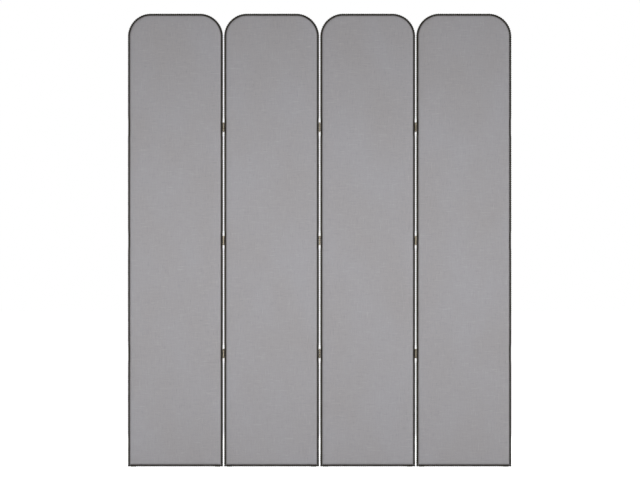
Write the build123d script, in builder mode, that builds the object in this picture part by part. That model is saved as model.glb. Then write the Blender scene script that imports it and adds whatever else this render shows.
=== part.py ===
from build123d import *
import os

# Upholstered folding screen of four panels.
# Millimetres. X runs along the width, Y from front (-Y) to back (+Y), +Z up.
# Origin: bottom centre, on the floor, in the middle of the screen's thickness.

os.makedirs("parts", exist_ok=True)

# ---------------------------------------------------------------- overall
PANELS = 4
SCREEN_H = 2032.0  # floor to top edge
PANEL_W = 424.25  # over the covers
GAP = 7.0  # between two panels
CORNER_R = 102.0  # top corners, at the panel's edge
GLIDE_H = 3.0  # the panels stand this far off the floor
PITCH = PANEL_W + GAP

# ------------------------------------------------- layers, half thicknesses
LUMBER_Y = 9.5  # frame lumber, 19 mm thick
BOARD_T = 3.0  # hardboard skins
BOARD_Y = LUMBER_Y + BOARD_T
PAD_T = 3.0  # wadding
CLOTH_T = 0.8  # linen
SEAT_Y = BOARD_Y + CLOTH_T  # where the nail strips sit

# ------------------------------------------------------------------- frame
STILE_W = 45.0
TOP_RAIL_H = 120.0
BOTTOM_RAIL_H = 60.0
MID_RAIL_H = 45.0
MID_RAIL_Z = (680.0, 1300.0)

# ------------------------------------------------------- padding's profile
# (inset from the panel's edge, height above the board)
NAIL_D = 9.5
CROWN = ((NAIL_D, 0.0), (13.0, 1.4), (20.0, 2.4), (34.0, PAD_T))

# -------------------------------------------------------------- nail strip
STRIP_H = 2.8
STRIP_WALL = 0.6

# ------------------------------------------------------------------ glides
GLIDE_R = 12.5
GLIDE_NAIL_R = 1.25
GLIDE_NAIL_L = 18.0

# ------------------------------------------------------------------ hinges
HINGE_Z = (SCREEN_H * 0.25, SCREEN_H * 0.50, SCREEN_H * 0.75)
HINGE_H = 40.0
PIN_Y = 17.0  # the pins stand clear of the nail heads, front and back
PIN_R = 1.5
BORE_R = 1.56  # running fit in the leaves
BARREL_R = 3.2
KNUCKLE_H = 13.2  # each outer knuckle, on a leaf
LINK_KNUCKLE_H = 13.1  # the middle one, on the link
LEAF_T = 1.3
LEAF_FAR_Y = 9.5  # how far a leaf reaches past the middle of the edge
NOTCH_R = 3.6  # plates stay this far from the other piece's barrel
LINK_T = 1.6
PIN_HEAD_R = 2.4
PIN_HEAD_H = 1.0
PIN_END_GAP = 0.2

# ------------------------------------------------------------------ screws
SCREW_R = 1.5
SCREW_HEAD_R = 2.6
SCREW_L = 16.0
SCREW_DZ = 12.0  # two in each leaf, above and below its middle

# ------------------------------------------------------------- derived
HALF_GAP = GAP / 2
panel_x = [(n - (PANELS - 1) / 2) * PITCH for n in range(PANELS)]
gap_x = [(n - (PANELS - 2) / 2) * PITCH for n in range(PANELS - 1)]


def layer(y):
    """The vertical plane at this y, seen from the front."""
    return Plane.XZ.offset(-y)


def outline(xc, inset=0.0, foot=None):
    """A panel's outline: square at the foot, round at the two top corners."""
    w = PANEL_W / 2 - inset
    top = SCREEN_H - inset
    bottom = GLIDE_H + inset if foot is None else foot
    r = CORNER_R - inset
    with BuildSketch() as shape:
        with BuildLine():
            Polyline(
                (xc - w, top - r), (xc - w, bottom), (xc + w, bottom), (xc + w, top - r)
            )
            CenterArc((xc + w - r, top - r), r, 0, 90)
            Line((xc + w - r, top), (xc - w + r, top))
            CenterArc((xc - w + r, top - r), r, 90, 90)
        make_face()
    return shape.sketch


def crown(xc, y0, side):
    """The padded field: a low tapered plateau that starts at y0, on the front (-1) or the back (+1)."""
    with BuildPart() as plateau:
        for (in_0, h_0), (in_1, h_1) in zip(CROWN, CROWN[1:]):
            with BuildSketch(layer(y0 + side * h_0)):
                add(outline(xc, in_0))
            with BuildSketch(layer(y0 + side * h_1)):
                add(outline(xc, in_1))
            loft(ruled=True)
    return plateau.part


# ======================================================= pieces made once
# A leaf on the left panel's edge, about the middle of its gap: two outer knuckles
# on the front pin, a plate notched beside the link's knuckle, two countersunk holes.
with BuildPart() as leaf:
    for z0 in (-HINGE_H / 2, HINGE_H / 2 - KNUCKLE_H):
        with BuildSketch(Plane.XY.offset(z0)):
            with Locations((0, -PIN_Y)):
                Circle(BARREL_R)
        extrude(amount=KNUCKLE_H)
    rims = leaf.edges().filter_by(GeomType.CIRCLE).group_by(Axis.Z)
    chamfer(rims[0] + rims[-1], length=0.4)
    for z0 in (-HINGE_H / 2, HINGE_H / 2 - KNUCKLE_H):
        with BuildSketch(Plane.XY.offset(z0)):
            with Locations((-HALF_GAP + LEAF_T / 2, -PIN_Y + NOTCH_R / 2)):
                Rectangle(LEAF_T, NOTCH_R)
        extrude(amount=KNUCKLE_H)
    with BuildSketch(Plane.YZ.offset(-HALF_GAP)):
        near = -PIN_Y + NOTCH_R
        with Locations(((near + LEAF_FAR_Y) / 2, 0)):
            plate = Rectangle(LEAF_FAR_Y - near, HINGE_H)
        fillet(plate.vertices().group_by(Axis.X)[-1], radius=2.5)
    extrude(amount=LEAF_T)
    with Locations((0, -PIN_Y, HINGE_H / 2)):
        Hole(radius=BORE_R)
    with Locations(
        Location((-HALF_GAP + LEAF_T, 0, SCREW_DZ), (0, 90, 0)),
        Location((-HALF_GAP + LEAF_T, 0, -SCREW_DZ), (0, 90, 0)),
    ):
        CounterSinkHole(
            radius=SCREW_R, counter_sink_radius=SCREW_HEAD_R, counter_sink_angle=90
        )

# The link: a web in mid-gap with a knuckle on each pin.
with BuildPart() as link:
    with BuildSketch(Plane.XY.offset(-HINGE_H / 2)):
        Rectangle(LINK_T, 2 * (PIN_Y - NOTCH_R))
    extrude(amount=HINGE_H)
    with BuildSketch(Plane.XY.offset(-LINK_KNUCKLE_H / 2)):
        with Locations((0, -PIN_Y), (0, PIN_Y)):
            Circle(BARREL_R)
        Rectangle(LINK_T, 2 * PIN_Y)
    extrude(amount=LINK_KNUCKLE_H)
    with Locations((0, -PIN_Y, HINGE_H / 2), (0, PIN_Y, HINGE_H / 2)):
        Hole(radius=PIN_R)

# A hinge pin with a small domed head at each end.
with BuildPart() as pin:
    with BuildSketch(Plane.XZ):
        with BuildLine():
            top = HINGE_H / 2 + PIN_END_GAP
            Polyline(
                (0, -top - PIN_HEAD_H),
                (PIN_HEAD_R - 0.7, -top - PIN_HEAD_H),
                (PIN_HEAD_R, -top - PIN_HEAD_H + 0.7),
                (PIN_HEAD_R, -top),
                (PIN_R, -top),
                (PIN_R, top),
                (PIN_HEAD_R, top),
                (PIN_HEAD_R, top + PIN_HEAD_H - 0.7),
                (PIN_HEAD_R - 0.7, top + PIN_HEAD_H),
                (0, top + PIN_HEAD_H),
                close=True,
            )
        make_face()
    revolve(axis=Axis.Z)

# A countersunk screw, its head flush with z = 0, running down -Z, with a straight slot.
with BuildPart() as screw:
    with BuildSketch(Plane.XZ):
        with BuildLine():
            Polyline(
                (0, 0),
                (SCREW_HEAD_R, 0),
                (SCREW_R, SCREW_R - SCREW_HEAD_R),
                (SCREW_R, 2.4 - SCREW_L),
                (0.2, -SCREW_L),
                (0, -SCREW_L),
                close=True,
            )
        make_face()
    revolve(axis=Axis.Z)
    with BuildSketch(Plane.XY):
        Rectangle(6, 0.7)
    extrude(amount=-0.4, mode=Mode.SUBTRACT)

# A glide: a low disc with a rounded rim, and the nail that holds it.
with BuildPart() as glide:
    with BuildSketch(Plane.XZ):
        with BuildLine():
            nail_top = GLIDE_H + GLIDE_NAIL_L
            Polyline(
                (0, 0),
                (GLIDE_R - 0.6, 0),
                (GLIDE_R, 0.6),
                (GLIDE_R, GLIDE_H - 0.4),
                (GLIDE_R - 0.4, GLIDE_H),
                (GLIDE_NAIL_R, GLIDE_H),
                (GLIDE_NAIL_R, nail_top - 1.5),
                (0.2, nail_top),
                (0, nail_top),
                close=True,
            )
        make_face()
    revolve(axis=Axis.Z)


# ============================================================= the panels
stile_z0 = GLIDE_H + CLOTH_T
stile_z1 = SCREEN_H - CLOTH_T - TOP_RAIL_H
rail_w = PANEL_W - 2 * (CLOTH_T + STILE_W)

for n, xc in enumerate(panel_x, 1):
    left_edge = xc - PANEL_W / 2
    right_edge = xc + PANEL_W / 2
    stile_x = (
        left_edge + CLOTH_T + STILE_W / 2,
        right_edge - CLOTH_T - STILE_W / 2,
    )
    # hinge screws run from the leaves' faces into the stiles
    screw_spots = []
    for z in [h + dz for h in HINGE_Z for dz in (-SCREW_DZ, SCREW_DZ)]:
        if n > 1:
            screw_spots.append(Location((left_edge - LEAF_T, 0, z), (0, -90, 0)))
        if n < PANELS:
            screw_spots.append(Location((right_edge + LEAF_T, 0, z), (0, 90, 0)))

    with BuildPart() as glides:
        with Locations(*[(x, 0, 0) for x in stile_x]):
            add(glide.part)
    glides.part.label = f"glides_{n}"
    export_step(glides.part, f"parts/glides_{n}.step")

    with BuildPart() as screws:
        with Locations(*screw_spots):
            add(screw.part)
    screws.part.label = f"hinge_screws_{n}"
    export_step(screws.part, f"parts/hinge_screws_{n}.step")

    # frame: two stiles, bored for the screws and the glides' nails
    with BuildPart() as stiles:
        with BuildSketch(layer(LUMBER_Y)):
            with Locations(*[(x, (stile_z0 + stile_z1) / 2) for x in stile_x]):
                Rectangle(STILE_W, stile_z1 - stile_z0)
        extrude(amount=2 * LUMBER_Y)
        with Locations(*[(x, 0, 0) for x in stile_x]):
            add(glide.part, mode=Mode.SUBTRACT)
        with Locations(*screw_spots):
            add(screw.part, mode=Mode.SUBTRACT)
    stiles.part.label = f"stiles_{n}"
    export_step(stiles.part, f"parts/stiles_{n}.step")

    # frame: the top rail, cut to the rounded corners
    with BuildPart() as top_rail:
        with BuildSketch(layer(LUMBER_Y)):
            add(outline(xc, CLOTH_T, foot=stile_z1))
        extrude(amount=2 * LUMBER_Y)
    top_rail.part.label = f"top_rail_{n}"
    export_step(top_rail.part, f"parts/top_rail_{n}.step")

    # frame: bottom rail and two middle rails between the stiles
    with BuildPart() as rails:
        with BuildSketch(layer(LUMBER_Y)):
            with Locations((xc, stile_z0 + BOTTOM_RAIL_H / 2)):
                Rectangle(rail_w, BOTTOM_RAIL_H)
            with Locations(*[(xc, z) for z in MID_RAIL_Z]):
                Rectangle(rail_w, MID_RAIL_H)
        extrude(amount=2 * LUMBER_Y)
    rails.part.label = f"rails_{n}"
    export_step(rails.part, f"parts/rails_{n}.step")

    # hardboard skins on both faces of the frame
    with BuildPart() as boards:
        for y in (-LUMBER_Y, BOARD_Y):
            with BuildSketch(layer(y)):
                add(outline(xc, CLOTH_T))
            extrude(amount=BOARD_T)
    boards.part.label = f"boards_{n}"
    export_step(boards.part, f"parts/boards_{n}.step")

    # wadding under the covers, and the same plateaus a cloth's thickness further out
    under_front, over_front = crown(xc, -BOARD_Y, -1), crown(xc, -SEAT_Y, -1)
    under_back, over_back = crown(xc, BOARD_Y, +1), crown(xc, SEAT_Y, +1)

    with BuildPart() as padding_front:
        add(under_front)
    padding_front.part.label = f"padding_front_{n}"
    export_step(padding_front.part, f"parts/padding_front_{n}.step")

    with BuildPart() as padding_back:
        add(under_back)
    padding_back.part.label = f"padding_back_{n}"
    export_step(padding_back.part, f"parts/padding_back_{n}.step")

    # front cover, wrapped round the sides, the top and the foot
    with BuildPart() as cover_front:
        with BuildSketch(layer(BOARD_Y)):
            add(outline(xc))
        extrude(amount=BOARD_Y + SEAT_Y)
        add(over_front)
        with BuildSketch(layer(BOARD_Y)):
            add(outline(xc, CLOTH_T))
        extrude(amount=2 * BOARD_Y, mode=Mode.SUBTRACT)
        add(under_front, mode=Mode.SUBTRACT)
        with Locations(*[(x, 0, 0) for x in stile_x]):
            add(glide.part, mode=Mode.SUBTRACT)
        with Locations(*screw_spots):
            add(screw.part, mode=Mode.SUBTRACT)
    cover_front.part.label = f"cover_front_{n}"
    export_step(cover_front.part, f"parts/cover_front_{n}.step")

    # back cover, laid on the back
    with BuildPart() as cover_back:
        with BuildSketch(layer(BOARD_Y)):
            add(outline(xc))
        extrude(amount=-CLOTH_T)
        add(over_back)
        add(under_back, mode=Mode.SUBTRACT)
    cover_back.part.label = f"cover_back_{n}"
    export_step(cover_back.part, f"parts/cover_back_{n}.step")

    # nail strips: a thin pressed strip of domed section round each face's edge
    for side, name in ((-1, "front"), (1, "back")):
        with BuildPart() as hollow:
            with BuildSketch(layer(side * SEAT_Y)):
                add(outline(xc, STRIP_WALL))
                add(outline(xc, NAIL_D - STRIP_WALL), mode=Mode.SUBTRACT)
            extrude(amount=-side * (STRIP_H - STRIP_WALL))
            crest = hollow.faces().sort_by(Axis.Y)[-1 if side > 0 else 0]
            chamfer(crest.edges(), length=1.5)
        with BuildPart() as nail_strip:
            with BuildSketch(layer(side * SEAT_Y)):
                add(outline(xc))
                add(outline(xc, NAIL_D), mode=Mode.SUBTRACT)
            extrude(amount=-side * STRIP_H)
            crest = nail_strip.faces().sort_by(Axis.Y)[-1 if side > 0 else 0]
            fillet(crest.edges(), radius=2.2)
            add(hollow.part, mode=Mode.SUBTRACT)
        nail_strip.part.label = f"nail_strip_{name}_{n}"
        export_step(nail_strip.part, f"parts/nail_strip_{name}_{n}.step")

# ============================================================= the hinges
for g, xg in enumerate(gap_x, 1):
    with BuildPart() as leaves_left:
        with Locations(*[Location((xg, 0, z)) for z in HINGE_Z]):
            add(leaf.part)
    leaves_left.part.label = f"hinge_leaves_left_{g}"
    export_step(leaves_left.part, f"parts/hinge_leaves_left_{g}.step")

    with BuildPart() as leaves_right:
        with Locations(*[Location((xg, 0, z), (0, 0, 180)) for z in HINGE_Z]):
            add(leaf.part)
    leaves_right.part.label = f"hinge_leaves_right_{g}"
    export_step(leaves_right.part, f"parts/hinge_leaves_right_{g}.step")

    with BuildPart() as links:
        with Locations(*[Location((xg, 0, z)) for z in HINGE_Z]):
            add(link.part)
    links.part.label = f"hinge_links_{g}"
    export_step(links.part, f"parts/hinge_links_{g}.step")

    with BuildPart() as pins:
        with Locations(
            *[Location((xg, y, z)) for z in HINGE_Z for y in (-PIN_Y, PIN_Y)]
        ):
            add(pin.part)
    pins.part.label = f"hinge_pins_{g}"
    export_step(pins.part, f"parts/hinge_pins_{g}.step")
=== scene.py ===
import math

import bpy
import numpy as np
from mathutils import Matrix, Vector
from mathutils.geometry import delaunay_2d_cdt


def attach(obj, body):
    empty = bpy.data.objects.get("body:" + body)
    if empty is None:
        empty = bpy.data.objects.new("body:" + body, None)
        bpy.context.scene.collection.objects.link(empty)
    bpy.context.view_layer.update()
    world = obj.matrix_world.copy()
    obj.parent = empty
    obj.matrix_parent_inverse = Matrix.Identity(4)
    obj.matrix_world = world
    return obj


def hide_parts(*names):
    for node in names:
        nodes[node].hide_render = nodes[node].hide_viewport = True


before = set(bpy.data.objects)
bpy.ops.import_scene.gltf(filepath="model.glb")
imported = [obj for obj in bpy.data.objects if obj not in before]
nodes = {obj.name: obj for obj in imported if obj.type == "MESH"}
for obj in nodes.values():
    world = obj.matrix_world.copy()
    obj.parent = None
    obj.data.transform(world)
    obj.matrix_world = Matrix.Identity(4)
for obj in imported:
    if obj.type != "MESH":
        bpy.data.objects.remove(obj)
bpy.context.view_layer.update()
scene = bpy.context.scene

# ------------------------------------------------------------------ sizes, metres
PANEL_W = 0.42425
PITCH = 0.43125
FOOT = 0.003
TOP = 2.032
CORNER_R = 0.102
BOARD_Y = 0.0125
SEAT_Y = 0.0133
NAIL_D = 0.0099
NAIL_IN = 0.00475  # the nails' centres, in from the panel's edge
NAIL_OUT = 0.00125  # and how much nearer the edge they are driven, away from the hinges
HINGE_Z = (0.508, 1.016, 1.524)
PANEL_X = [(n - 1.5) * PITCH for n in range(4)]

LONG_NAILS = 460  # up one side, over the top and down the other
FOOT_NAILS = 44
COLS = 4 * (LONG_NAILS + FOOT_NAILS)


# =================================================================== helpers
def mesh_object(name, verts, faces, smooth=True):
    me = bpy.data.meshes.new(name)
    me.from_pydata([tuple(v) for v in verts], [], [tuple(f) for f in faces])
    me.validate()
    me.update()
    if smooth:
        me.polygons.foreach_set("use_smooth", [True] * len(me.polygons))
    ob = bpy.data.objects.new(name, me)
    scene.collection.objects.link(ob)
    return ob


def fast_mesh(name, verts, faces, smooth=True):
    """verts is an array (n, 3), faces a list of arrays (m, k) with one k each."""
    me = bpy.data.meshes.new(name)
    verts = np.asarray(verts, np.float32)
    me.vertices.add(len(verts))
    me.vertices.foreach_set("co", verts.ravel())
    loops = np.concatenate([f.ravel() for f in faces]).astype(np.int32)
    sizes = np.concatenate([np.full(len(f), f.shape[1], np.int32) for f in faces])
    starts = np.concatenate([[0], np.cumsum(sizes)[:-1]]).astype(np.int32)
    me.loops.add(len(loops))
    me.loops.foreach_set("vertex_index", loops)
    me.polygons.add(len(sizes))
    me.polygons.foreach_set("loop_start", starts)
    me.polygons.foreach_set("loop_total", sizes)
    me.update(calc_edges=True)
    me.validate()
    if smooth:
        me.polygons.foreach_set("use_smooth", [True] * len(me.polygons))
    ob = bpy.data.objects.new(name, me)
    scene.collection.objects.link(ob)
    return ob


# ------------------------------------------------------ a panel's outline as rings
def reference_columns():
    """For each column, which stretch of the outline it is on and how far along it, taken on the nails' centre line so that every fourth column meets a nail."""
    w = PANEL_W / 2 - NAIL_IN
    r = CORNER_R - NAIL_IN
    side = TOP - CORNER_R - (FOOT + NAIL_IN)
    arc = math.pi / 2 * r
    top = PANEL_W - 2 * CORNER_R
    lengths = [side, arc, top, arc, side]
    total = sum(lengths)
    out = []
    for j in range(4 * LONG_NAILS):
        s = total * j / (4 * LONG_NAILS)
        k = 0
        while k < 4 and s > lengths[k]:
            s -= lengths[k]
            k += 1
        out.append((k, min(1.0, s / lengths[k])))
    for j in range(4 * FOOT_NAILS):
        out.append((5, j / (4 * FOOT_NAILS)))
    return out


COLUMN = reference_columns()


def ring(d, every=1):
    """The outline at inset d about x = 0, from the lower left corner up the left side, over the top, down the right side and back along the foot. Returns x, z and the outward direction."""
    w = PANEL_W / 2 - d
    r = max(CORNER_R - d, 0.0005)
    zc = TOP - CORNER_R
    xc = PANEL_W / 2 - CORNER_R
    cw = w - r if d < CORNER_R else w
    pts = []
    for k, t in COLUMN[::every]:
        if k == 0:
            pts.append((-w, FOOT + d + t * (zc - FOOT - d), -1, 0))
        elif k == 1:
            a = math.pi - t * math.pi / 2
            pts.append((-xc + r * math.cos(a), zc + r * math.sin(a), math.cos(a), math.sin(a)))
        elif k == 2:
            pts.append((-xc + t * 2 * xc, zc + r, 0, 1))
        elif k == 3:
            a = math.pi / 2 - t * math.pi / 2
            pts.append((xc + r * math.cos(a), zc + r * math.sin(a), math.cos(a), math.sin(a)))
        elif k == 4:
            pts.append((w, zc - t * (zc - FOOT - d), 1, 0))
        else:
            pts.append((w - t * 2 * w, FOOT + d, 0, -1))
    return np.array(pts)


def inset_of(x, z):
    """How far points lie in from the panel's outline, near enough for shading a crown."""
    dx = PANEL_W / 2 - np.abs(x)
    dz = np.minimum(z - FOOT, TOP - z)
    xc, zc = PANEL_W / 2 - CORNER_R, TOP - CORNER_R
    in_corner = (np.abs(x) > xc) & (z > zc)
    rad = CORNER_R - np.hypot(np.abs(x) - xc, z - zc)
    return np.where(in_corner, rad, np.minimum(dx, dz))


def noise2(x, z, seed, scales):
    """Smooth repeatable noise of a few sine sums, about -1 to 1."""
    rng = np.random.default_rng(seed)
    out = np.zeros_like(x)
    total = 0.0
    for size, weight in scales:
        for _ in range(5):
            a = rng.uniform(0, 2 * math.pi)
            k = 2 * math.pi / (size * rng.uniform(0.7, 1.4))
            out += weight * np.sin(k * (x * math.cos(a) + z * math.sin(a)) + rng.uniform(0, 2 * math.pi))
            total += weight
    return out / total * 2.0


def nail_shift(x, z):
    """How much the trim is set out from its centre line: none beside a hinge, where the knuckles pass close by."""
    far = np.min([np.abs(z - h) for h in HINGE_Z], axis=0)
    near_side = np.abs(x) > PANEL_W / 2 - 0.02
    free = np.clip((far - 0.028) / 0.02, 0.0, 1.0)
    return NAIL_OUT * np.where(near_side, free * free * (3 - 2 * free), 1.0)


def set_out(p, every):
    """Moves a ring of the trim out by its shift, the two square corners of the foot both ways at once."""
    s = nail_shift(p[:, 0], p[:, 1])
    way = p[:, 2:4].copy()
    way[0] = (-1, -1)
    way[4 * LONG_NAILS // every] = (1, -1)
    p[:, 0] += way[:, 0] * s
    p[:, 1] += way[:, 1] * s
    return p


def crown_height(d):
    """Height of the cloth above its seat under the nails, at inset d from the edge."""
    knots_d = [0.0, 0.0088, 0.0100, 0.0125, 0.0160, 0.0220, 0.0340, 0.0600, 0.1000, 0.2200]
    knots_h = [0.0, 0.0000, 0.00040, 0.00110, 0.00170, 0.00220, 0.00255, 0.00262, 0.00264, 0.00265]
    return np.interp(d, knots_d, knots_h)


# ================================================================ the covers
FIELD_RINGS = [0.0100, 0.0116, 0.0135, 0.0160, 0.0200]  # 4 columns a nail
MID_RINGS = [0.0240, 0.0290, 0.0350, 0.0430]  # 2 a nail
WIDE_RINGS = [0.0540, 0.0680, 0.0840]  # 1 a nail


def stitch(a, b, na, nb):
    """Faces between ring a (start index, na points) and its neighbour b, with as many, half or twice the points."""
    if na < nb:
        return stitch(b, a, nb, na)
    if na == nb:
        i = np.arange(na)
        j = (i + 1) % na
        return [np.stack([a + i, a + j, b + j, b + i], 1)]
    i = np.arange(nb)
    j = (i + 1) % nb
    p, q, r = a + 2 * i, a + 2 * i + 1, a + (2 * i + 2) % na
    return [
        np.stack([p, q, b + i], 1),
        np.stack([q, b + j, b + i], 1),
        np.stack([q, r, b + j], 1),
    ]


def inner_points():
    """An even spread of points inside the innermost ring, and the net of triangles that joins them to it."""
    edge = ring(WIDE_RINGS[-1], 4)
    nb = len(edge)
    step = 0.021
    inside = []
    zs = np.arange(FOOT + WIDE_RINGS[-1] + step * 0.8, TOP - WIDE_RINGS[-1] - step * 0.5, step)
    for row, z in enumerate(zs):
        off = 0.0 if row % 2 else step / 2
        for x in np.arange(-PANEL_W / 2 + off, PANEL_W / 2, step):
            if inset_of(np.array([x]), np.array([z]))[0] > WIDE_RINGS[-1] + step * 0.55:
                inside.append((x, z))
    flat = [Vector((p[0], p[1])) for p in edge] + [Vector(p) for p in inside]
    loop = [(i, (i + 1) % nb) for i in range(nb)]
    out_v, _, out_f, orig, _, _ = delaunay_2d_cdt(flat, loop, [list(range(nb))], 1, 1e-7)
    assert len(out_v) == len(flat)
    net = np.array([[orig[k][0] for k in f] for f in out_f])
    return np.array(inside), net, nb


INNER, INNER_NET, INNER_EDGE = inner_points()


def inner_faces(edge_start, inner_start):
    return np.where(INNER_NET < INNER_EDGE, INNER_NET + edge_start, INNER_NET - INNER_EDGE + inner_start)


SIM_RINGS = [0.0088] + FIELD_RINGS + MID_RINGS + WIDE_RINGS
LIFT_MOST = 0.0008


def swell():
    """A cloth simulation of one face: the linen held at its nails and pressed out by the wadding behind it. Gives how far each ring and each inner point lifts, with the greatest lift capped."""
    verts, faces, rings, at = [], [], [], 0
    for d in SIM_RINGS:
        p = ring(d, 4 if d in WIDE_RINGS else 2)
        verts.append(np.stack([p[:, 0], -(SEAT_Y + crown_height(np.full(len(p), d))), p[:, 1]], 1))
        rings.append((at, len(p)))
        at += len(p)
    for (a, na), (b, nb) in zip(rings, rings[1:]):
        faces += stitch(a, b, na, nb)
    verts.append(np.stack([INNER[:, 0], -(SEAT_Y + crown_height(inset_of(INNER[:, 0], INNER[:, 1]))), INNER[:, 1]], 1))
    faces.append(inner_faces(rings[-1][0], at))
    rest = np.concatenate(verts)
    ob = fast_mesh("cloth_trial", rest, faces)
    outward(ob)
    pins = ob.vertex_groups.new(name="nailed")
    pins.add([i for i in range(rings[0][1]) if i % 2 == 0], 1.0, "REPLACE")
    mod = ob.modifiers.new("cloth", "CLOTH")
    c = mod.settings
    c.quality = 5
    c.mass = 0.3
    c.tension_stiffness = c.compression_stiffness = 40.0
    c.shear_stiffness = 20.0
    c.bending_stiffness = 0.5
    c.air_damping = 5.0
    c.use_pressure = True
    c.uniform_pressure_force = 4.0
    c.effector_weights.gravity = 0.0
    c.vertex_group_mass = "nailed"
    mod.collision_settings.use_collision = False
    mod.collision_settings.use_self_collision = False
    mod.point_cache.frame_start = 1
    mod.point_cache.frame_end = 20
    for f in range(1, 21):
        scene.frame_set(f)
    me = ob.evaluated_get(bpy.context.evaluated_depsgraph_get()).to_mesh()
    co = np.empty(len(me.vertices) * 3, np.float32)
    me.vertices.foreach_get("co", co)
    co = co.reshape(-1, 3)
    lift = -(co[:, 1] - rest[:, 1])
    scene.frame_set(1)
    data = ob.data
    bpy.data.objects.remove(ob)
    bpy.data.meshes.remove(data)
    print("cloth trial: lift", float(lift.min()), float(lift.max()), "sideways", float(np.abs((co - rest)[:, ::2]).max()))
    lift = np.clip(lift, -0.0002, None)
    lift = lift * min(1.0, LIFT_MOST / max(1e-9, float(lift.max())))
    return {d: lift[a : a + n] for d, (a, n) in zip(SIM_RINGS, rings)}, lift[at:]


def lift_along(d, n):
    """The lift of the ring at inset d, for n columns."""
    a = RING_LIFT[d]
    at = np.arange(n) * (len(a) / n)
    low = at.astype(int)
    t = at - low
    return a[low % len(a)] * (1 - t) + a[(low + 1) % len(a)] * t


def build_cover(side, seed, wrap):
    """One cover about x = 0. side is -1 for the front, +1 for the back. wrap is a list of (inset, y) for the rings outside the nails, from the free edge to the face."""
    # pressed holds how much painted shade each point gets, for the shadow of the nail heads
    verts, cloth, pressed, faces = [], [], [], []
    start = 0
    rings = []  # (start, count)

    def put(xyz, uv, painted_shade=0.0):
        nonlocal start
        verts.append(xyz)
        cloth.append(uv)
        pressed.append(np.full(len(xyz), painted_shade))
        rings.append((start, len(xyz)))
        start += len(xyz)

    # the cloth's own flat coordinates: x and z on the face, and carried on past the edge
    run = 0.0
    outer = []
    last = None
    for d, y, every in reversed(wrap):
        if last is not None:
            run += math.hypot(d - last[0], y - last[1])
        outer.append((d, y, every, run))
        last = (d, y)
    for d, y, every, s in reversed(outer):
        p = ring(d, every)
        flat_x = ring(wrap[-1][0], every)
        uv = np.stack([flat_x[:, 0] + flat_x[:, 2] * s, flat_x[:, 1] + flat_x[:, 3] * s], 1)
        ys = np.full(len(p), y)
        # seated under each nail, a little proud between two nails
        phase = (np.arange(len(p)) * every) % 4
        if every == 1 and abs(abs(y) - 0.01325) < 0.0003 and d > 0.001:
            ys = ys + side * np.where(phase == 0, -0.00008, np.where(phase == 2, 0.00010, 0.0))
        if d < 0.0009 and abs(y) < 0.0128:
            ys = ys + 0.00012 * noise2(p[:, 0], p[:, 1], seed + 7, [(0.05, 1.0)])
        # the rings lying under the nail heads get the full painted shade
        under = 1.0 if every == 1 and y * side > 0.0131 and d > 0.0009 else 0.0
        put(np.stack([p[:, 0], ys, p[:, 1]], 1), uv, under)
    rng = np.random.default_rng(seed)
    for every, insets in ((1, FIELD_RINGS), (2, MID_RINGS), (4, WIDE_RINGS)):
        for d in insets:
            p = ring(d, every)
            n = len(p)
            h = crown_height(np.full(n, d)) + lift_along(d, n)
            # puckers: each nail pulls the cloth down, and the pull fades into the field
            if every <= 2:
                phase = (np.arange(n) * every) % 4
                pull = math.exp(-(d - 0.0095) / 0.0042)
                uneven = 0.7 + 0.5 * rng.random(n)
                h = h + 0.00018 * pull * np.where(phase == 0, -1.0, np.where(phase == 2, 1.0, 0.0)) * uneven
            soft = min(1.0, (d - 0.0095) / 0.03)
            h = h + soft * 0.00007 * noise2(p[:, 0], p[:, 1], seed, [(0.09, 1.0), (0.28, 1.0)])
            uv = np.stack([p[:, 0], p[:, 1]], 1)
            # painted shade beside the nails: full at the nails' inner edge, fading to none 13.5 mm in from the edge
            put(np.stack([p[:, 0], side * (SEAT_Y + h), p[:, 1]], 1), uv, float(np.interp(d, [0.0088, 0.0100, 0.0116, 0.0135], [1.0, 0.6, 0.2, 0.0])))
    for (a, na), (b, nb) in zip(rings, rings[1:]):
        faces += stitch(a, b, na, nb)
    # the field: an even net of triangles inside the last ring
    b, nb = rings[-1]
    h = crown_height(inset_of(INNER[:, 0], INNER[:, 1])) + INNER_LIFT + 0.00007 * noise2(
        INNER[:, 0], INNER[:, 1], seed, [(0.09, 1.0), (0.28, 1.0)]
    )
    put(np.stack([INNER[:, 0], side * (SEAT_Y + h), INNER[:, 1]], 1), INNER)
    faces.append(inner_faces(b, rings[-1][0]))
    v = np.concatenate(verts)
    uv = np.concatenate(cloth)
    return v, uv, np.concatenate(pressed), faces


def add_cloth_coords(ob, uv, pressed):
    at = ob.data.attributes.new("cloth", "FLOAT_VECTOR", "POINT")
    data = np.zeros((len(uv), 3), np.float32)
    data[:, :2] = uv
    at.data.foreach_set("vector", data.ravel())
    # the pressed attribute is the mask of painted shade round the nail heads
    at = ob.data.attributes.new("pressed", "FLOAT", "POINT")
    at.data.foreach_set("value", pressed.astype(np.float32))


def outward(ob):
    """Turns all faces of an open sheet the same way, its field facing away from the board."""
    import bmesh

    bm = bmesh.new()
    bm.from_mesh(ob.data)
    bmesh.ops.recalc_face_normals(bm, faces=bm.faces)
    best = max(bm.faces, key=lambda f: f.calc_area())
    y = best.calc_center_median().y
    if best.normal.y * y < 0:
        bmesh.ops.reverse_faces(bm, faces=bm.faces)
    bm.to_mesh(ob.data)
    bm.free()


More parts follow.
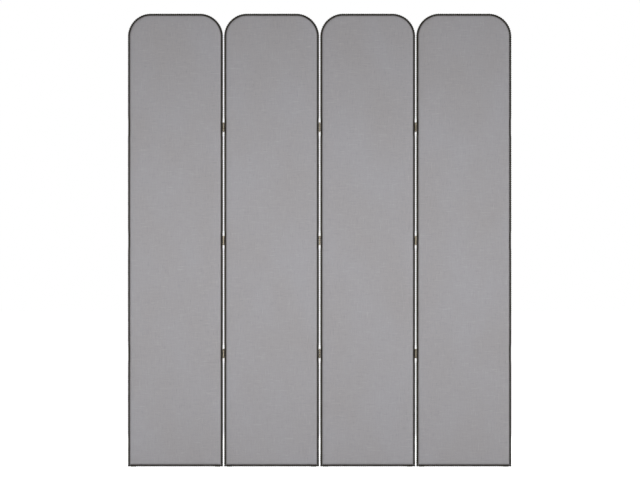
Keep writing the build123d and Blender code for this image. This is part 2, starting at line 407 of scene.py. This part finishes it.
# the front cover wraps over the edge, along the side and a little way onto the back
FRONT_WRAP = [
    (0.0200, 0.01262, 4),
    (0.0100, 0.01262, 4),
    (0.0018, 0.01262, 4),
    (0.0010, 0.01250, 4),
    (0.0006, 0.01205, 4),
    (0.00052, 0.0112, 4),
    (0.00050, 0.0060, 4),
    (0.00050, 0.0000, 4),
    (0.00050, -0.0060, 4),
    (0.00050, -0.0112, 2),
    (0.00068, -0.0122, 2),
    (0.00118, -0.01292, 1),
    (0.00190, -0.01320, 1),
    (0.00300, -0.01325, 1),
    (0.00475, -0.01325, 1),
    (0.00700, -0.01325, 1),
    (0.00880, -0.01328, 1),
]
# the back cover has its edge turned under, just short of the side
BACK_WRAP = [
    (0.0150, 0.01288, 4),
    (0.0080, 0.01288, 4),
    (0.0016, 0.01286, 2),
    (0.00075, 0.01283, 2),
    (0.00050, 0.01300, 2),
    (0.00060, 0.01318, 2),
    (0.00110, 0.01326, 1),
    (0.00200, 0.01327, 1),
    (0.00300, 0.01327, 1),
    (0.00475, 0.01327, 1),
    (0.00700, 0.01327, 1),
    (0.00880, 0.01328, 1),
]


# ============================================================ the nail heads
def dome(segments):
    """A pressed head: a short straight rim and a dome, about the origin, up +z."""
    r = NAIL_D / 2
    profile = [(1.0, 0.0), (1.0, 0.00040), (0.955, 0.00105), (0.82, 0.00185), (0.58, 0.00246), (0.29, 0.00276)]
    v, f = [], []
    for s, h in profile:
        for i in range(segments):
            a = 2 * math.pi * i / segments
            v.append((r * s * math.cos(a), r * s * math.sin(a), h))
    v.append((0, 0, 0.00285))
    quads, tris = [], []
    for k in range(len(profile) - 1):
        for i in range(segments):
            j = (i + 1) % segments
            a, b = k * segments, (k + 1) * segments
            quads.append((a + i, a + j, b + j, b + i))
    last = (len(profile) - 1) * segments
    for i in range(segments):
        tris.append((last + i, last + (i + 1) % segments, len(v) - 1))
    return np.array(v), np.array(quads), np.array(tris)


DOME_V, DOME_Q, DOME_T = dome(12)


def build_nails(side, seed):
    """Every head of one face about x = 0, edge to edge, and the thin web that joins them."""
    rng = np.random.default_rng(seed)
    path = set_out(ring(NAIL_IN, 4), 4)
    n = len(path)
    verts, quads, tris, tone = [], [], [], []
    at = 0
    for i in range(n):
        x, z = path[i, 0], path[i, 1]
        out = Vector((path[i, 2], path[i, 3]))
        v = DOME_V.copy()
        own = i % 5 == 0  # every fifth is a nail of its own, driven through the strip
        scale = 1.0 + rng.normal(0, 0.012)
        v[:, 2] *= scale * (1.05 if own else 1.0)
        v[:, :2] *= 1.0 - abs(rng.normal(0, 0.006))
        turn = rng.uniform(0, math.pi / 6)
        c, s = math.cos(turn), math.sin(turn)
        v = np.stack([v[:, 0] * c - v[:, 1] * s, v[:, 0] * s + v[:, 1] * c, v[:, 2]], 1)
        # each sits a little crooked, as a hand-driven row does
        tx, tz = rng.normal(0, math.radians(2.2 if own else 1.2), 2)
        dx, dz = rng.normal(0, 0.00007, 2)
        h = v[:, 2] + v[:, 0] * math.tan(tx) + v[:, 1] * math.tan(tz)
        # none is nudged out over the edge
        px = v[:, 0] + x + dx - max(0.0, dx * out.x + dz * out.y) * out.x
        pz = v[:, 1] + z + dz - max(0.0, dx * out.x + dz * out.y) * out.y
        lift = 0.00008 if own else 0.0
        verts.append(np.stack([px, side * (SEAT_Y - 0.00006 + lift + h), pz], 1))
        quads.append(DOME_Q + at)
        tris.append(DOME_T + at)
        tone.append(np.full(len(v), rng.random() * 0.8 + (0.2 if own else 0.0)))
        at += len(v)
    # the web between heads: a thin strip along the centre line
    m = COLS
    half = 0.0024
    low, high = SEAT_Y - 0.00005, SEAT_Y + 0.00055
    rows = []
    for o, y in ((half, low), (half, high), (-half, high), (-half, low)):
        q = set_out(ring(NAIL_IN - o), 1)
        rows.append(np.stack([q[:, 0], np.full(m, side * y), q[:, 1]], 1))
    base = at
    for r in rows:
        verts.append(r)
        tone.append(np.full(m, 0.25))
    i = np.arange(m)
    j = (i + 1) % m
    for k in range(3):
        quads.append(np.stack([base + k * m + i, base + k * m + j, base + (k + 1) * m + j, base + (k + 1) * m + i], 1))
    return np.concatenate(verts), np.concatenate(quads), np.concatenate(tris), np.concatenate(tone)


# ================================================================= materials
def new_material(name):
    m = bpy.data.materials.new(name)
    m.use_nodes = True
    t = m.node_tree
    t.nodes.clear()
    out = t.nodes.new("ShaderNodeOutputMaterial")
    bsdf = t.nodes.new("ShaderNodeBsdfPrincipled")
    t.links.new(bsdf.outputs["BSDF"], out.inputs["Surface"])
    return m, t, bsdf


class Tree:
    """Short calls for building a node tree."""

    def __init__(self, t):
        self.t = t

    def node(self, kind, **props):
        n = self.t.nodes.new(kind)
        for k, v in props.items():
            setattr(n, k, v)
        return n

    def put(self, socket, value):
        if hasattr(value, "is_linked") or isinstance(value, bpy.types.NodeSocket):
            self.t.links.new(value, socket)
        else:
            socket.default_value = value

    def math(self, op, a, b=0.0, c=None, clamp=False):
        n = self.node("ShaderNodeMath", operation=op, use_clamp=clamp)
        self.put(n.inputs[0], a)
        self.put(n.inputs[1], b)
        if c is not None:
            self.put(n.inputs[2], c)
        return n.outputs[0]

    def noise(self, vector, scale, detail=2.0, rough=0.5, dims="3D"):
        n = self.node("ShaderNodeTexNoise", noise_dimensions=dims)
        self.put(n.inputs["Vector"], vector)
        n.inputs["Scale"].default_value = scale
        n.inputs["Detail"].default_value = detail
        n.inputs["Roughness"].default_value = rough
        return n.outputs["Fac"]

    def scaled(self, vector, sx, sy, sz):
        n = self.node("ShaderNodeVectorMath", operation="MULTIPLY")
        self.put(n.inputs[0], vector)
        n.inputs[1].default_value = (sx, sy, sz)
        return n.outputs[0]

    def ramp(self, fac, stops):
        n = self.node("ShaderNodeValToRGB")
        self.put(n.inputs["Fac"], fac)
        e = n.color_ramp.elements
        while len(e) < len(stops):
            e.new(0.5)
        for el, (pos, col) in zip(e, stops):
            el.position = pos
            el.color = (*col, 1.0) if len(col) == 3 else col
        return n.outputs["Color"]

    def span(self, fac, a, b, to_a, to_b):
        n = self.node("ShaderNodeMapRange", clamp=True)
        self.put(n.inputs["Value"], fac)
        n.inputs["From Min"].default_value = a
        n.inputs["From Max"].default_value = b
        n.inputs["To Min"].default_value = to_a
        n.inputs["To Max"].default_value = to_b
        return n.outputs["Result"]

    def mix(self, fac, a, b, mode="MIX"):
        n = self.node("ShaderNodeMix", data_type="RGBA", blend_type=mode)
        self.put(n.inputs[0], fac)
        self.put(n.inputs[6], a)
        self.put(n.inputs[7], b)
        return n.outputs[2]

    def bump(self, height, strength, distance, normal=None):
        n = self.node("ShaderNodeBump")
        n.inputs["Strength"].default_value = strength
        n.inputs["Distance"].default_value = distance
        self.put(n.inputs["Height"], height)
        if normal is not None:
            self.put(n.inputs["Normal"], normal)
        return n.outputs["Normal"]


def linen_material():
    """Plain-weave linen: two sets of uneven yarns at about 0.85 mm, thick and thin stretches in each, and a faint drift
    of tone, with painted shade darkening the cloth beside the nail heads.
    """
    m, t, bsdf = new_material("linen_weave")
    T = Tree(t)
    at = T.node("ShaderNodeAttribute", attribute_type="GEOMETRY", attribute_name="cloth")
    co = at.outputs["Vector"]
    sep = T.node("ShaderNodeSeparateXYZ")
    T.put(sep.inputs[0], co)
    u, v = sep.outputs[0], sep.outputs[1]
    # the yarns wander a little
    wob_u = T.math("MULTIPLY", T.math("SUBTRACT", T.noise(T.scaled(co, 40, 9, 1), 1.0, 2.0), 0.5), 0.0016)
    wob_v = T.math("MULTIPLY", T.math("SUBTRACT", T.noise(T.scaled(co, 9, 40, 1), 1.0, 2.0), 0.5), 0.0016)
    uu, vv = T.math("ADD", u, wob_u), T.math("ADD", v, wob_v)
    pitch = 0.00085
    wu = T.math("SINE", T.math("MULTIPLY", uu, math.pi / pitch))
    wv = T.math("SINE", T.math("MULTIPLY", vv, math.pi / pitch))
    # over-under: warp up where the product is positive, weft up where it is negative
    over = T.math("MULTIPLY", wu, wv)
    ridge_warp = T.math("ABSOLUTE", wu)
    ridge_weft = T.math("ABSOLUTE", wv)
    top = T.math("MAXIMUM", ridge_warp, ridge_weft)
    low = T.math("MINIMUM", ridge_warp, ridge_weft)
    weave = T.math("ADD", T.math("MULTIPLY", top, 0.55), T.math("MULTIPLY", T.math("ABSOLUTE", over), 0.45))
    # slubs: long thick stretches in single yarns, both ways
    slub_v = T.noise(T.scaled(co, 900, 22, 1), 1.0, 2.0, 0.6)
    slub_h = T.noise(T.scaled(co, 26, 900, 1), 1.0, 2.0, 0.6)
    wide_v = T.noise(T.scaled(co, 260, 14, 1), 1.0, 2.0, 0.6)
    wide_h = T.noise(T.scaled(co, 16, 300, 1), 1.0, 2.0, 0.6)
    drift = T.noise(T.scaled(co, 5, 3, 1), 1.0, 3.0, 0.5)
    # darker and lighter single slubs that stand out
    def strokes(sx, sy, shift):
        v = T.node("ShaderNodeVectorMath", operation="ADD")
        T.put(v.inputs[0], T.scaled(co, sx, sy, 1))
        v.inputs[1].default_value = (shift, shift * 1.7, shift * 0.3)
        return T.span(T.noise(v.outputs[0], 1.0, 1.0, 0.4), 0.665, 0.74, 0.0, 1.0)

    dark_v, light_v = strokes(390, 30, 3.1), strokes(420, 26, 17.7)
    dark_h, light_h = strokes(30, 400, 31.3), strokes(24, 380, 47.9)
    fine = T.noise(co, 2600.0, 2.0, 0.6)

    tone = T.math("ADD", T.span(slub_v, 0.3, 0.7, -0.034, 0.034), T.span(slub_h, 0.3, 0.7, -0.034, 0.034))
    tone = T.math("ADD", tone, T.span(wide_v, 0.3, 0.7, -0.026, 0.026))
    tone = T.math("ADD", tone, T.span(wide_h, 0.3, 0.7, -0.022, 0.022))
    tone = T.math("ADD", tone, T.span(drift, 0.35, 0.65, -0.018, 0.018))
    tone = T.math("ADD", tone, T.span(weave, 0.2, 1.0, -0.10, 0.035))
    tone = T.math("ADD", tone, T.math("MULTIPLY", dark_v, -0.12))
    tone = T.math("ADD", tone, T.math("MULTIPLY", dark_h, -0.08))
    tone = T.math("ADD", tone, T.math("MULTIPLY", light_v, 0.09))
    tone = T.math("ADD", tone, T.math("MULTIPLY", light_h, 0.12))
    tone = T.math("ADD", tone, T.span(fine, 0.3, 0.7, -0.04, 0.04))
    level = T.math("ADD", tone, 1.0)

    # warp a shade cooler than the weft
    over01 = T.span(over, -0.6, 0.6, 0.0, 1.0)
    base = T.mix(over01, (0.346, 0.333, 0.340, 1), (0.328, 0.322, 0.338, 1))
    hue = T.mix(T.span(drift, 0.35, 0.65, 0.0, 1.0), (1.0, 0.995, 0.985, 1), (0.992, 1.0, 1.012, 1))
    base = T.mix(1.0, base, hue, "MULTIPLY")
    grey = T.node("ShaderNodeCombineColor")
    for k in range(3):
        T.put(grey.inputs[k], level)
    cloth_col = T.mix(1.0, base, grey.outputs[0], "MULTIPLY")
    # painted shade: the cloth under and just inside the nail heads is darkened towards near-black, standing in for the
    # shadow the heads cast on it
    crease_shade = T.node("ShaderNodeAttribute", attribute_type="GEOMETRY", attribute_name="pressed").outputs["Fac"]
    T.put(bsdf.inputs["Base Color"], T.mix(T.math("MULTIPLY", crease_shade, 0.62), cloth_col, (0.095, 0.09, 0.085, 1)))
    T.put(bsdf.inputs["Roughness"], T.span(fine, 0.3, 0.7, 0.86, 0.97))
    height = T.math("ADD", T.math("MULTIPLY", weave, 0.6), T.span(slub_v, 0.3, 0.75, 0.0, 0.5))
    height = T.math("ADD", height, T.span(slub_h, 0.3, 0.75, 0.0, 0.5))
    height = T.math("ADD", height, T.math("MULTIPLY", T.math("ADD", dark_v, light_h), 0.4))
    T.put(bsdf.inputs["Normal"], T.bump(height, 0.55, 0.00028))
    bsdf.inputs["Sheen Weight"].default_value = 0.18
    bsdf.inputs["Sheen Roughness"].default_value = 0.55
    bsdf.inputs["Sheen Tint"].default_value = (0.80, 0.80, 0.84, 1)
    bsdf.inputs["Specular IOR Level"].default_value = 0.22
    return m


def nail_material():
    """Blackened bronze: a dark oxide coat, thinner and browner on the crowns, with a soft gleam."""
    m, t, bsdf = new_material("nail_oxidised_bronze")
    T = Tree(t)
    tc = T.node("ShaderNodeTexCoord")
    co = tc.outputs["Object"]
    tone = T.node("ShaderNodeAttribute", attribute_type="GEOMETRY", attribute_name="tone").outputs["Fac"]
    rise = T.node("ShaderNodeAttribute", attribute_type="GEOMETRY", attribute_name="rise").outputs["Fac"]
    mottle = T.noise(co, 420.0, 3.0, 0.6)
    grime = T.noise(co, 1500.0, 2.0, 0.6)
    base = T.ramp(T.math("ADD", T.math("MULTIPLY", mottle, 0.6), T.math("MULTIPLY", tone, 0.4)),
                  [(0.15, (0.009, 0.008, 0.006)), (0.5, (0.017, 0.015, 0.011)), (0.85, (0.032, 0.027, 0.019))])
    worn = T.math("MULTIPLY", T.span(rise, 0.55, 1.0, 0.0, 1.0), T.span(grime, 0.35, 0.65, 0.2, 1.0))
    col = T.mix(T.math("MULTIPLY", worn, 0.45), base, (0.075, 0.065, 0.048, 1))
    T.put(bsdf.inputs["Base Color"], col)
    bsdf.inputs["Metallic"].default_value = 0.7
    bsdf.inputs["Specular IOR Level"].default_value = 0.3
    T.put(bsdf.inputs["Roughness"], T.span(T.math("ADD", grime, T.math("MULTIPLY", mottle, 0.5)), 0.5, 1.0, 0.24, 0.46))
    T.put(bsdf.inputs["Normal"], T.bump(grime, 0.18, 0.0002))
    return m


def hinge_material():
    """Aged brass gone to a grey-olive, brushed along its height, with darker grime."""
    m, t, bsdf = new_material("hinge_aged_brass")
    T = Tree(t)
    co = T.node("ShaderNodeTexCoord").outputs["Object"]
    brushed = T.noise(T.scaled(co, 900, 900, 60), 1.0, 3.0, 0.6)
    blotch = T.noise(co, 160.0, 4.0, 0.6)
    fine = T.noise(co, 2400.0, 2.0, 0.6)
    col = T.ramp(blotch, [(0.28, (0.150, 0.125, 0.088)), (0.50, (0.360, 0.320, 0.250)), (0.74, (0.520, 0.475, 0.385))])
    col = T.mix(T.span(brushed, 0.3, 0.7, 0.0, 0.28), col, (0.12, 0.105, 0.08, 1))
    T.put(bsdf.inputs["Base Color"], col)
    bsdf.inputs["Metallic"].default_value = 0.9
    T.put(bsdf.inputs["Roughness"], T.span(T.math("ADD", fine, blotch), 0.7, 1.3, 0.32, 0.52))
    T.put(bsdf.inputs["Normal"], T.bump(T.math("ADD", brushed, T.math("MULTIPLY", fine, 0.4)), 0.2, 0.00015))
    return m


def wood_material():
    """Planed pine: growth rings drawn out along the height, with pores and a few darker streaks."""
    m, t, bsdf = new_material("frame_pine")
    T = Tree(t)
    co = T.node("ShaderNodeTexCoord").outputs["Object"]
    warp = T.noise(T.scaled(co, 6, 6, 0.9), 1.0, 3.0)
    sep = T.node("ShaderNodeSeparateXYZ")
    T.put(sep.inputs[0], co)
    lane = T.math("ADD", T.math("MULTIPLY", sep.outputs[0], 1.0), T.math("MULTIPLY", sep.outputs[1], 1.6))
    rings = T.math("SINE", T.math("ADD", T.math("MULTIPLY", lane, 620.0), T.math("MULTIPLY", warp, 26.0)))
    pores = T.noise(T.scaled(co, 1400, 1400, 40), 1.0, 2.0, 0.6)
    col = T.ramp(T.span(rings, -1.0, 1.0, 0.0, 1.0), [(0.0, (0.50, 0.33, 0.17)), (0.55, (0.66, 0.49, 0.29)), (1.0, (0.73, 0.57, 0.36))])
    col = T.mix(T.span(pores, 0.55, 0.75, 0.0, 0.5), col, (0.36, 0.22, 0.11, 1))
    T.put(bsdf.inputs["Base Color"], col)
    T.put(bsdf.inputs["Roughness"], T.span(pores, 0.3, 0.7, 0.55, 0.75))
    T.put(bsdf.inputs["Normal"], T.bump(T.math("ADD", T.math("MULTIPLY", rings, 0.3), pores), 0.2, 0.0002))
    return m


def board_material():
    """Hardboard: pressed brown fibres, one way with no grain."""
    m, t, bsdf = new_material("hardboard_fibre")
    T = Tree(t)
    co = T.node("ShaderNodeTexCoord").outputs["Object"]
    a = T.noise(T.scaled(co, 500, 500, 900), 1.0, 4.0, 0.7)
    b = T.noise(co, 30.0, 3.0, 0.6)
    col = T.ramp(T.math("ADD", T.math("MULTIPLY", a, 0.7), T.math("MULTIPLY", b, 0.3)),
                 [(0.3, (0.20, 0.115, 0.058)), (0.5, (0.29, 0.175, 0.092)), (0.7, (0.37, 0.235, 0.130))])
    T.put(bsdf.inputs["Base Color"], col)
    T.put(bsdf.inputs["Roughness"], T.span(a, 0.3, 0.7, 0.62, 0.82))
    T.put(bsdf.inputs["Normal"], T.bump(a, 0.25, 0.0002))
    return m


def wadding_material():
    """Off-white polyester wadding: loose felted fibres."""
    m, t, bsdf = new_material("wadding_fibre")
    T = Tree(t)
    co = T.node("ShaderNodeTexCoord").outputs["Object"]
    a = T.noise(T.scaled(co, 240, 240, 110), 1.0, 5.0, 0.75)
    b = T.noise(T.scaled(co, 90, 90, 300), 1.0, 5.0, 0.75)
    mixed = T.math("MULTIPLY", T.math("ADD", a, b), 0.5)
    T.put(bsdf.inputs["Base Color"], T.ramp(mixed, [(0.3, (0.70, 0.70, 0.68)), (0.6, (0.86, 0.86, 0.84))]))
    T.put(bsdf.inputs["Roughness"], T.span(mixed, 0.3, 0.7, 0.9, 1.0))
    T.put(bsdf.inputs["Normal"], T.bump(mixed, 0.7, 0.0012))
    bsdf.inputs["Sheen Weight"].default_value = 0.3
    return m


def plastic_material():
    """Milky nylon glides, scuffed underneath."""
    m, t, bsdf = new_material("glide_nylon")
    T = Tree(t)
    co = T.node("ShaderNodeTexCoord").outputs["Object"]
    scuff = T.noise(T.scaled(co, 700, 160, 700), 1.0, 3.0, 0.6)
    sep = T.node("ShaderNodeSeparateXYZ")
    T.put(sep.inputs[0], co)
    low = T.span(sep.outputs[2], 0.0, 0.0016, 1.0, 0.0)
    dirt = T.math("MULTIPLY", low, T.span(scuff, 0.35, 0.7, 0.1, 0.8))
    T.put(bsdf.inputs["Base Color"], T.mix(dirt, (0.86, 0.86, 0.84, 1), (0.62, 0.60, 0.57, 1)))
    T.put(bsdf.inputs["Roughness"], T.span(scuff, 0.3, 0.7, 0.36, 0.58))
    bsdf.inputs["Subsurface Weight"].default_value = 0.05
    T.put(bsdf.inputs["Normal"], T.bump(scuff, 0.1, 0.0001))
    return m


LINEN = linen_material()
NAIL = nail_material()
HINGE = hinge_material()
WOOD = wood_material()
BOARD = board_material()
WADDING = wadding_material()
NYLON = plastic_material()

for name, ob in nodes.items():
    for start, mat in (
        ("stiles", WOOD), ("top_rail", WOOD), ("rails", WOOD), ("boards", BOARD), ("glides", NYLON),
        ("hinge", HINGE), ("padding", WADDING), ("cover", LINEN), ("nail_strip", NAIL),
    ):
        if name.startswith(start):
            ob.data.materials.clear()
            ob.data.materials.append(mat)


# ================================================================== building
RING_LIFT, INNER_LIFT = swell()
front_v, front_uv, front_shade, front_f = build_cover(-1, 11, FRONT_WRAP)
back_v, back_uv, back_shade, back_f = build_cover(+1, 23, BACK_WRAP)


def place_cover(n, side, wadding):
    v, uv, pressed, f = (front_v, front_uv, front_shade, front_f) if side < 0 else (back_v, back_uv, back_shade, back_f)
    v = v.copy()
    uv = uv.copy()
    if n % 2:  # every other panel is turned left for right, so that no two side by side match
        v[:, 0] *= -1
        uv[:, 0] *= -1
    v[:, 0] += PANEL_X[n]
    where = "front" if side < 0 else "back"
    ob = fast_mesh(f"linen_{where}_{n + 1}", v, f)
    # each piece of cloth is cut from another place on the roll
    add_cloth_coords(ob, uv + np.array([1.7 * n + (7.3 if side > 0 else 0.0), 2.9 * n]), pressed)
    outward(ob)
    ob.data.materials.append(LINEN)
    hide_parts(f"cover_{where}_{n + 1}")
    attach(ob, f"panel_{n + 1}")
    return ob


def place_nails(n, side):
    v, q, t, tone = build_nails(side, 100 + 10 * n + side)
    v[:, 0] += PANEL_X[n]
    where = "front" if side < 0 else "back"
    ob = fast_mesh(f"nail_trim_{where}_{n + 1}", v, [q, t])
    a = ob.data.attributes.new("tone", "FLOAT", "POINT")
    a.data.foreach_set("value", tone.astype(np.float32))
    rise = np.clip((np.abs(v[:, 1]) - SEAT_Y) / 0.0028, 0, 1)
    b = ob.data.attributes.new("rise", "FLOAT", "POINT")
    b.data.foreach_set("value", rise.astype(np.float32))
    import bmesh

    bm = bmesh.new()
    bm.from_mesh(ob.data)
    bmesh.ops.recalc_face_normals(bm, faces=bm.faces)
    up = [f for f in bm.faces if f.normal.y * side < -0.2]
    if len(up) > len(bm.faces) * 0.2:
        bmesh.ops.reverse_faces(bm, faces=bm.faces)
    bm.to_mesh(ob.data)
    bm.free()
    ob.data.materials.append(NAIL)
    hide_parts(f"nail_strip_{where}_{n + 1}")
    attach(ob, f"panel_{n + 1}")
    return ob


def place_wadding(n, side):
    """A thin layer of wadding with a soft feathered border, under the cover."""
    insets = [0.0104, 0.0112, 0.0130, 0.0160, 0.0210, 0.0300, 0.0450, 0.0700, 0.0950]
    verts, faces, rings, at = [], [], [], 0
    for lift in (0, 1):
        for d in insets if lift else insets[::-1]:
            p = ring(d, 8)
            y = np.full(len(p), BOARD_Y + 0.00003)
            if lift:
                y += max(0.00010, float(crown_height(np.array([d]))[0]) + 0.00045)
                y += 0.00008 * min(1.0, (d - 0.0104) / 0.02) * noise2(p[:, 0], p[:, 1], 31 + n, [(0.04, 1.0)])
            verts.append(np.stack([p[:, 0], side * y, p[:, 1]], 1))
            rings.append((at, len(p)))
            at += len(p)
    for (a, na), (b, nb) in zip(rings, rings[1:]):
        faces += stitch(a, b, na, nb)
    v = np.concatenate(verts)
    # close both middles with one face each, cut into triangles below
    for start, count in (rings[0], rings[-1]):
        faces.append(np.array([[start + i for i in range(count)]]))
    v[:, 0] += PANEL_X[n]
    where = "front" if side < 0 else "back"
    ob = fast_mesh(f"wadding_{where}_{n + 1}", v, faces)
    import bmesh

    bm = bmesh.new()
    bm.from_mesh(ob.data)
    bmesh.ops.triangulate(bm, faces=[f for f in bm.faces if len(f.verts) > 4])
    bmesh.ops.recalc_face_normals(bm, faces=bm.faces)
    bm.to_mesh(ob.data)
    bm.free()
    ob.data.materials.append(WADDING)
    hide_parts(f"padding_{where}_{n + 1}")
    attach(ob, f"panel_{n + 1}")
    return ob


for n in range(4):
    for side in (-1, 1):
        place_cover(n, side, place_wadding(n, side))
        place_nails(n, side)


# ================================================================= the stage
def stage_plane(name, x0, x1, y0, y1, z, mat):
    ob = mesh_object(name, [(x0, y0, z), (x1, y0, z), (x1, y1, z), (x0, y1, z)], [(0, 1, 2, 3)], smooth=False)
    ob.data.materials.append(mat)
    return ob


floor_mat, ft, fb = new_material("floor_white")
fb.inputs["Base Color"].default_value = (0.93, 0.93, 0.93, 1)
fb.inputs["Roughness"].default_value = 0.9
fb.inputs["Specular IOR Level"].default_value = 0.1
fb.inputs["Emission Color"].default_value = (1, 1, 1, 1)
floor_ray = ft.nodes.new("ShaderNodeLightPath")
floor_glow = ft.nodes.new("ShaderNodeMapRange")
floor_glow.inputs["To Min"].default_value = 0.02
floor_glow.inputs["To Max"].default_value = 0.76
ft.links.new(floor_ray.outputs["Is Camera Ray"], floor_glow.inputs["Value"])
ft.links.new(floor_glow.outputs["Result"], fb.inputs["Emission Strength"])
stage_plane("floor", -30, 30, -30, 30, 0.0, floor_mat)

world = bpy.data.worlds.new("studio")
scene.world = world
world.use_nodes = True
wt = world.node_tree
bg = wt.nodes["Background"]
bg.inputs["Color"].default_value = (1, 1, 1, 1)
# seen directly the backdrop is white; the light it gives is softer than that
ray = wt.nodes.new("ShaderNodeLightPath")
level = wt.nodes.new("ShaderNodeMapRange")
level.inputs["To Min"].default_value = 0.21
level.inputs["To Max"].default_value = 1.0
wt.links.new(ray.outputs["Is Camera Ray"], level.inputs["Value"])
wt.links.new(level.outputs["Result"], bg.inputs["Strength"])


def area_light(name, at, look, size, size_y, power, color=(1, 1, 1)):
    li = bpy.data.lights.new(name, "AREA")
    li.shape = "RECTANGLE"
    li.size, li.size_y = size, size_y
    li.energy = power
    li.color = color
    ob = bpy.data.objects.new(name, li)
    ob.location = at
    ob.rotation_mode = "QUATERNION"
    ob.rotation_quaternion = (Vector(look) - Vector(at)).to_track_quat("-Z", "Y")
    scene.collection.objects.link(ob)
    ob.visible_camera = False
    return ob


area_light("key_strip", (0.0, -1.9, 1.02), (0.0, 0.0, 1.02), 4.4, 0.4, 32.0)
# a broad light from the right and a little above, which lets the nail heads shade the cloth beside them
sun = bpy.data.lights.new("side_light", "SUN")
sun.energy = 1.2
sun.angle = math.radians(14)
sun_ob = bpy.data.objects.new("side_light", sun)
sun_ob.rotation_mode = "QUATERNION"
sun_ob.rotation_quaternion = Vector((-0.80, 0.62, -0.36)).to_track_quat("-Z", "Y")
scene.collection.objects.link(sun_ob)
area_light("back_strip", (0.0, 2.3, 1.25), (0.0, 0.0, 1.0), 4.4, 0.5, 56.0)

# ================================================================ the camera
# The photograph looks square on at the screen. Its scale is 4.484 mm to a pixel of a 640 x 480 picture, and
# the screen's middle is at (319.65, 240.05).
MM_PX = 0.004484
DIST = 14.0
cam_data = bpy.data.cameras.new("camera")
cam_data.sensor_width = 36.0
cam_data.lens = 36.0 * DIST / (640 * MM_PX)
cam_data.clip_end = 200.0
cam = bpy.data.objects.new("camera", cam_data)
cam.location = (0.35 * MM_PX, -DIST - 0.016, 1.0175 + 0.05 * MM_PX)
cam.rotation_euler = (math.radians(90), 0, 0)
scene.collection.objects.link(cam)
scene.camera = cam
scene.view_settings.view_transform = "Standard"
scene.view_settings.look = "None"
